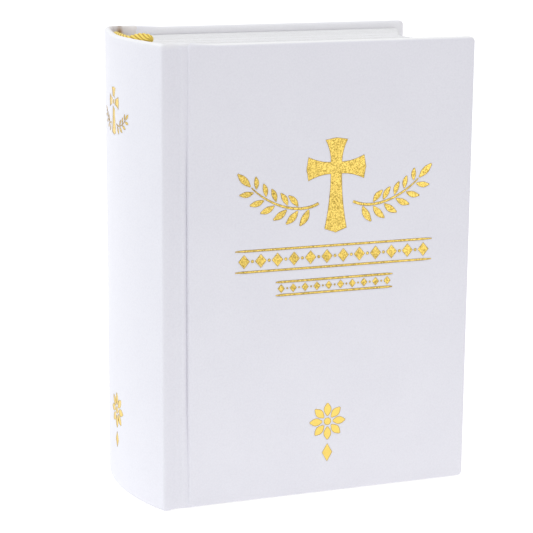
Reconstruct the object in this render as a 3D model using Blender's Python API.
"""A small, thick hard-cover bible with a rounded spine, standing closed on its tail.

The frame: +X runs from the spine to the fore-edge, the front cover faces -Y, +Z is up,
and the origin is under the middle of the book, on the surface that it stands on.

The book is made as a bound book is: a case (two boards and a spine stiffener inside one
leatherette covering) around a block of folded sections, with mull, lining and two end
bands on the sections' backs, and a pastedown and a flyleaf at each end.  The covers swing
on vertical hinges at the ridges of the spine, and every section turns about its own fold.
"""

import math

import bmesh
import bpy
from mathutils import Vector

MM = 0.001

# The case, as it is seen
COVER_HEIGHT = 124.5 * MM
COVER_WIDTH = 82.3 * MM
BOOK_THICKNESS = 50.0 * MM
JOINT_WIDTH = 6.5 * MM
SPINE_BULGE = 5.7 * MM
HEAD_CAP = 0.5 * MM
EDGE_ROUND = 0.6 * MM
TURN_IN = 12.0 * MM

# Thicknesses of the boards and sheets
COVERING = 0.4 * MM
BOARD = 2.1 * MM
STIFFENER = 0.6 * MM
PASTEDOWN = 0.15 * MM
FLYLEAF = 0.2 * MM
LINING = 0.2 * MM
MULL = 0.3 * MM
BAND_TAPE = 0.3 * MM

# The text block
SECTIONS = 28
HEAD_SQUARE = 1.8 * MM
FORE_SQUARE = 2.8 * MM
MIDDLE_SINK = 3.9 * MM
SINK_SPREAD = 10.0 * MM
FOLD_THICKNESS = 0.3 * MM
FOLD_TAPER = 9.0 * MM
MULL_INSET = 9.0 * MM
HEADBAND_RADIUS = 1.3 * MM
TAILBAND_RADIUS = 0.7 * MM
BAND_DROP = 7.0 * MM
BAND_SETBACK = 6.0 * MM

# The groove between a board and the spine
GROOVE_DEPTH = 2.1 * MM
RIDGE_FLAT = 0.5 * MM
RIDGE_SLOPE = 2.0 * MM
SPINE_SETBACK = 1.0 * MM
STIFFENER_SETBACK = 0.6 * MM
PASTEDOWN_SQUARE = 2.5 * MM
PASTEDOWN_REACH = 3.0 * MM

# Clearances
GLUE_LINE = 0.05 * MM
ARC_FIT = 0.1 * MM
HOLLOW = 0.3 * MM
FOLD_FIT = 0.3 * MM
LEAF_FIT = 0.1 * MM
SECTION_FIT = 0.06 * MM
BAND_FIT = 0.2 * MM
HINGE_OFFSET = 0.2 * MM
HINGE_SETBACK = 0.1 * MM
RIDGE_FIT = 0.7 * MM

ARC_STEPS = 32
BEAD_STEPS = 14
ROUND_STEPS = 2

# Places along X
BOOK_WIDTH = SPINE_BULGE + JOINT_WIDTH + COVER_WIDTH
FORE_EDGE_X = BOOK_WIDTH / 2
BOARD_EDGE_X = FORE_EDGE_X - COVER_WIDTH
RIDGE_X = BOARD_EDGE_X - JOINT_WIDTH
HINGE_X = RIDGE_X + RIDGE_FIT - HINGE_SETBACK

# The arc of the spine, seen from above: every curved layer shares its centre
HALF = BOOK_THICKNESS / 2
SPINE_RADIUS = (HALF ** 2 + SPINE_BULGE ** 2) / (2 * SPINE_BULGE)
ARC_X = RIDGE_X - SPINE_BULGE + SPINE_RADIUS
STIFFENER_RADIUS = SPINE_RADIUS - COVERING - ARC_FIT
FLAP_RADIUS = STIFFENER_RADIUS - STIFFENER - ARC_FIT
BEAD_RADIUS = FLAP_RADIUS - COVERING - ARC_FIT
LINING_RADIUS = FLAP_RADIUS - COVERING - HOLLOW
TAPE_RADIUS = LINING_RADIUS - LINING - ARC_FIT
MULL_RADIUS = TAPE_RADIUS - BAND_TAPE - ARC_FIT
FOLD_RADIUS = MULL_RADIUS - MULL - FOLD_FIT

# Places up Z
SPINE_TOP = COVER_HEIGHT + HEAD_CAP
TEXT_BOTTOM = HEAD_SQUARE
TEXT_TOP = COVER_HEIGHT - HEAD_SQUARE

# Depths through a cover, from its outer face inwards
BOARD_DEPTH = COVERING + GLUE_LINE
LIP_DEPTH = BOARD_DEPTH + BOARD + GLUE_LINE
COVER_DEPTH = LIP_DEPTH + COVERING
PASTEDOWN_DEPTH = COVER_DEPTH + GLUE_LINE
INNER_DEPTH = PASTEDOWN_DEPTH + PASTEDOWN
LEAF_DEPTH = INNER_DEPTH + LEAF_FIT
TEXT_DEPTH = LEAF_DEPTH + FLYLEAF + LEAF_FIT

# The sections
SECTION_PITCH = (BOOK_THICKNESS - 2 * TEXT_DEPTH) / SECTIONS
SECTION_THICKNESS = SECTION_PITCH - SECTION_FIT

FRONT, BACK = -1, 1


def arc_x(radius, y):
    """X of the point at depth y on the spine's arc of this radius."""
    return ARC_X - math.sqrt(radius ** 2 - y ** 2)


def fold_y(index):
    """Depth of the fold of the section with this index, counted from the front."""
    return -HALF + TEXT_DEPTH + SECTION_PITCH * (index + 0.5)


def fold_x(index):
    return arc_x(FOLD_RADIUS, fold_y(index))


SECTION_WIDTH = FORE_EDGE_X - FORE_SQUARE - fold_x(0)


def section_width(index):
    """Width of a section: the hollow of the fore-edge sinks deeper towards the middle."""
    return SECTION_WIDTH - MIDDLE_SINK * math.exp(-(fold_y(index) / SINK_SPREAD) ** 2)


def finish(name, colour, roughness, metallic=0.0):
    material = bpy.data.materials.get(name)
    if material is None:
        material = bpy.data.materials.new(name)
        material.use_nodes = True
        shader = material.node_tree.nodes["Principled BSDF"]
        shader.inputs["Base Color"].default_value = (*colour, 1.0)
        shader.inputs["Roughness"].default_value = roughness
        shader.inputs["Metallic"].default_value = metallic
        material.diffuse_color = (*colour, 1.0)
    return material


def leatherette():
    return finish("leatherette", (0.86, 0.87, 0.9), 0.5)


def greyboard():
    return finish("greyboard", (0.45, 0.43, 0.4), 0.9)


def end_paper():
    return finish("end_paper", (0.9, 0.9, 0.88), 0.8)


def text_paper():
    return finish("text_paper", (0.88, 0.87, 0.83), 0.85)


def gauze():
    return finish("gauze", (0.78, 0.76, 0.7), 0.9)


def band_cloth():
    return finish("band_cloth", (0.82, 0.6, 0.2), 0.7)


def clear_scene():
    for thing in list(bpy.data.objects):
        bpy.data.objects.remove(thing)


def add_object(name, corners, faces, material, origin=(0.0, 0.0, 0.0), parent=None):
    """Make a closed solid from points in the book's frame, with its own origin."""
    mesh = bpy.data.meshes.new(name)
    start = Vector(origin)
    mesh.from_pydata([Vector(corner) - start for corner in corners], [], faces)
    shell = bmesh.new()
    shell.from_mesh(mesh)
    bmesh.ops.recalc_face_normals(shell, faces=shell.faces)
    shell.to_mesh(mesh)
    shell.free()
    mesh.materials.append(material)
    thing = bpy.data.objects.new(name, mesh)
    bpy.context.collection.objects.link(thing)
    if parent is None:
        thing.location = start
    else:
        thing.parent = parent
    return thing


def add_axis(name, x, y):
    """An empty on a vertical hinge axis."""
    axis = bpy.data.objects.new(name, None)
    axis.empty_display_size = HEAD_SQUARE
    axis.location = (x, y, 0.0)
    bpy.context.collection.objects.link(axis)
    return axis


def box(low, high):
    """Corners and faces of a box between two corners."""
    corners = [(x, y, z) for z in (low[2], high[2]) for y in (low[1], high[1])
               for x in (low[0], high[0])]
    faces = [(0, 2, 3, 1), (4, 5, 7, 6), (0, 1, 5, 4), (2, 6, 7, 3), (0, 4, 6, 2), (1, 3, 7, 5)]
    return corners, faces


def prism(outline, bottom, top):
    """Corners and faces of an outline in X and Y, raised from bottom to top."""
    count = len(outline)
    corners = [(x, y, z) for z in (bottom, top) for x, y in outline]
    sides = [(i, (i + 1) % count, (i + 1) % count + count, i + count) for i in range(count)]
    return corners, [tuple(range(count)), tuple(range(count, 2 * count)), *sides]


def arc_sweep(profile, half_width):
    """Sweep an outline in radius and Z along the spine's arc.

    half_width is the depth that the sweep reaches, front and back, at the arc's outer radius.
    """
    reach = math.asin(half_width / SPINE_RADIUS)
    count = len(profile)
    corners = []
    for step in range(ARC_STEPS + 1):
        angle = reach * (2 * step / ARC_STEPS - 1)
        for radius, z in profile:
            corners.append((ARC_X - radius * math.cos(angle), radius * math.sin(angle), z))
    faces = [tuple(range(count)), tuple(range(ARC_STEPS * count, (ARC_STEPS + 1) * count))]
    for step in range(ARC_STEPS):
        for i in range(count):
            j = (i + 1) % count
            faces.append((step * count + i, step * count + j,
                          (step + 1) * count + j, (step + 1) * count + i))
    return corners, faces


def cut_or_join(target, tool, operation):
    """Boolean target with a guide object that itself is left out of the part."""
    tool.hide_render = True
    tool.display_type = "WIRE"
    change = target.modifiers.new(operation.lower(), "BOOLEAN")
    change.operation = operation
    change.solver = "EXACT"
    change.object = tool


def round_all_edges(thing, width):
    change = thing.modifiers.new("round", "BEVEL")
    change.width = width
    change.segments = ROUND_STEPS
    change.limit_method = "ANGLE"


def cover_box(side, x_low, x_high, depth_low, depth_high, z_low, z_high):
    """A box in one cover; the depths are measured from the cover's outer face inwards."""
    ys = sorted((side * (HALF - depth_low), side * (HALF - depth_high)))
    return box((x_low, ys[0], z_low), (x_high, ys[1], z_high))


def make_covering(label, side, hinge):
    """Leatherette around one board, with its turn-ins and the groove up to the ridge."""
    origin = hinge.location
    skin = leatherette()
    covering = add_object(
        f"{label}_covering",
        *cover_box(side, BOARD_EDGE_X, FORE_EDGE_X, 0.0, COVER_DEPTH, 0.0, COVER_HEIGHT),
        skin, origin, hinge)
    round_all_edges(covering, EDGE_ROUND)
    start = RIDGE_X + RIDGE_FIT
    foot = start + RIDGE_FLAT + RIDGE_SLOPE
    end = BOARD_EDGE_X + COVERING * 0.75
    groove = [
        (start, ARC_FIT),
        (start + RIDGE_FLAT, ARC_FIT),
        (foot, GROOVE_DEPTH),
        (end, GROOVE_DEPTH),
        (end, GROOVE_DEPTH + COVERING),
        (foot - COVERING / 2, GROOVE_DEPTH + COVERING),
        (start, ARC_FIT + COVERING),
    ]
    strip = add_object(
        f"{label}_groove_guide",
        *prism([(x, side * (HALF - depth)) for x, depth in groove], 0.0, SPINE_TOP),
        skin, origin, hinge)
    cut_or_join(covering, strip, "UNION")
    room = add_object(
        f"{label}_board_room_guide",
        *cover_box(side, BOARD_EDGE_X + COVERING, FORE_EDGE_X - COVERING,
                   COVERING, LIP_DEPTH, COVERING, COVER_HEIGHT - COVERING),
        skin, origin, hinge)
    cut_or_join(covering, room, "DIFFERENCE")
    window = add_object(
        f"{label}_window_guide",
        *cover_box(side, BOARD_EDGE_X + COVERING, FORE_EDGE_X - TURN_IN,
                   BOARD_DEPTH + BOARD / 2, COVER_DEPTH + BOARD, TURN_IN, COVER_HEIGHT - TURN_IN),
        skin, origin, hinge)
    cut_or_join(covering, window, "DIFFERENCE")


def make_board(label, side, hinge):
    gap = COVERING + GLUE_LINE
    add_object(
        f"{label}_board",
        *cover_box(side, BOARD_EDGE_X + gap, FORE_EDGE_X - gap,
                   BOARD_DEPTH, BOARD_DEPTH + BOARD, gap, COVER_HEIGHT - gap),
        greyboard(), hinge.location, hinge)


def make_pastedown(label, side, hinge):
    """The end paper glued inside a cover: it dips into the window between the turn-ins."""
    sheet = add_object(
        f"{label}_pastedown",
        *cover_box(side, BOARD_EDGE_X - PASTEDOWN_REACH, FORE_EDGE_X - PASTEDOWN_SQUARE,
                   PASTEDOWN_DEPTH, INNER_DEPTH,
                   PASTEDOWN_SQUARE, COVER_HEIGHT - PASTEDOWN_SQUARE),
        end_paper(), hinge.location, hinge)
    edge = COVERING + GLUE_LINE
    inside = add_object(
        f"{label}_pastedown_guide",
        *cover_box(side, BOARD_EDGE_X + edge, FORE_EDGE_X - TURN_IN - GLUE_LINE,
                   LIP_DEPTH, (PASTEDOWN_DEPTH + INNER_DEPTH) / 2,
                   TURN_IN + GLUE_LINE, COVER_HEIGHT - TURN_IN - GLUE_LINE),
        end_paper(), hinge.location, hinge)
    cut_or_join(sheet, inside, "UNION")


def make_cover(label, side):
    hinge = add_axis(f"{label}_cover_hinge", HINGE_X, side * (HALF + HINGE_OFFSET))
    make_covering(label, side, hinge)
    make_board(label, side, hinge)
    make_pastedown(label, side, hinge)


def make_spine():
    """The rounded panel: covering turned in over a card stiffener at head and tail."""
    flap_in = FLAP_RADIUS - COVERING
    inner = SPINE_RADIUS - COVERING
    chamfer = EDGE_ROUND / 2
    profile = [
        (SPINE_RADIUS, chamfer),
        (SPINE_RADIUS, SPINE_TOP - chamfer),
        (SPINE_RADIUS - chamfer, SPINE_TOP),
        (flap_in, SPINE_TOP),
        (flap_in, SPINE_TOP - TURN_IN),
        (FLAP_RADIUS, SPINE_TOP - TURN_IN),
        (FLAP_RADIUS, SPINE_TOP - COVERING),
        (inner, SPINE_TOP - COVERING),
        (inner, COVERING),
        (FLAP_RADIUS, COVERING),
        (FLAP_RADIUS, TURN_IN),
        (flap_in, TURN_IN),
        (flap_in, 0.0),
        (SPINE_RADIUS - chamfer, 0.0),
    ]
    add_object("spine_covering", *arc_sweep(profile, HALF - SPINE_SETBACK), leatherette())
    gap = COVERING + GLUE_LINE
    card = arc_band(STIFFENER_RADIUS, STIFFENER, gap, SPINE_TOP - gap)
    reach = HALF - SPINE_SETBACK - STIFFENER_SETBACK
    add_object("spine_stiffener", *arc_sweep(card, reach), greyboard())


def arc_band(radius, thickness, bottom, top):
    """The outline, in radius and Z, of a curved sheet with this outer radius."""
    return [(radius, bottom), (radius, top), (radius - thickness, top),
            (radius - thickness, bottom)]


def make_back_lining():
    """Mull and paper lining on the sections' folds."""
    reach = HALF - TEXT_DEPTH
    mull = arc_band(MULL_RADIUS, MULL, TEXT_BOTTOM + MULL_INSET, TEXT_TOP - MULL_INSET)
    add_object("mull", *arc_sweep(mull, reach), gauze())
    lining = arc_band(LINING_RADIUS, LINING, TEXT_BOTTOM, TEXT_TOP)
    add_object("spine_lining", *arc_sweep(lining, reach), text_paper())


def make_end_band(name, radius, up):
    """A bead over the folds at one end of the text, on a tape glued down the back."""
    text_end = TEXT_TOP if up > 0 else TEXT_BOTTOM
    bead_z = text_end + up * (BAND_FIT + radius)
    bead_middle = BEAD_RADIUS - radius
    first = -math.acos((TAPE_RADIUS - bead_middle) / radius)
    last = 2 * math.pi - math.acos((TAPE_RADIUS - BAND_TAPE - bead_middle) / radius)
    profile = [(TAPE_RADIUS, text_end - up * BAND_DROP)]
    for i in range(BEAD_STEPS + 1):
        angle = first + (last - first) * i / BEAD_STEPS
        profile.append((bead_middle + radius * math.cos(angle),
                        bead_z + up * radius * math.sin(angle)))
    profile.append((TAPE_RADIUS - BAND_TAPE, text_end - up * BAND_DROP))
    add_object(name, *arc_sweep(profile, HALF - TEXT_DEPTH - BAND_SETBACK), band_cloth())


def make_flyleaf(label, side):
    """The free half of an end paper, hinged in line with the outermost fold."""
    near = side * (HALF - LEAF_DEPTH)
    far = side * (HALF - LEAF_DEPTH - FLYLEAF)
    hinge = (fold_x(0), (near + far) / 2, 0.0)
    add_object(
        f"{label}_flyleaf",
        *box((fold_x(0), min(near, far), TEXT_BOTTOM),
             (fold_x(0) + SECTION_WIDTH, max(near, far), TEXT_TOP)),
        end_paper(), hinge)


def make_section(index):
    """A folded section, thin at its fold so that it can turn beside its neighbours."""
    x, y = fold_x(index), fold_y(index)
    thin = FOLD_THICKNESS / 2
    full = SECTION_THICKNESS / 2
    edge = x + section_width(index)
    outline = [
        (x, y - thin),
        (x + FOLD_TAPER, y - full),
        (edge, y - full),
        (edge, y + full),
        (x + FOLD_TAPER, y + full),
        (x, y + thin),
    ]
    add_object(f"section_{index + 1:02d}", *prism(outline, TEXT_BOTTOM, TEXT_TOP),
               text_paper(), (x, y, 0.0))


def main():
    clear_scene()
    make_cover("front", FRONT)
    make_cover("back", BACK)
    make_spine()
    make_back_lining()
    make_end_band("headband", HEADBAND_RADIUS, 1)
    make_end_band("tailband", TAILBAND_RADIUS, -1)
    make_flyleaf("front", FRONT)
    make_flyleaf("back", BACK)
    for index in range(SECTIONS):
        make_section(index)


main()
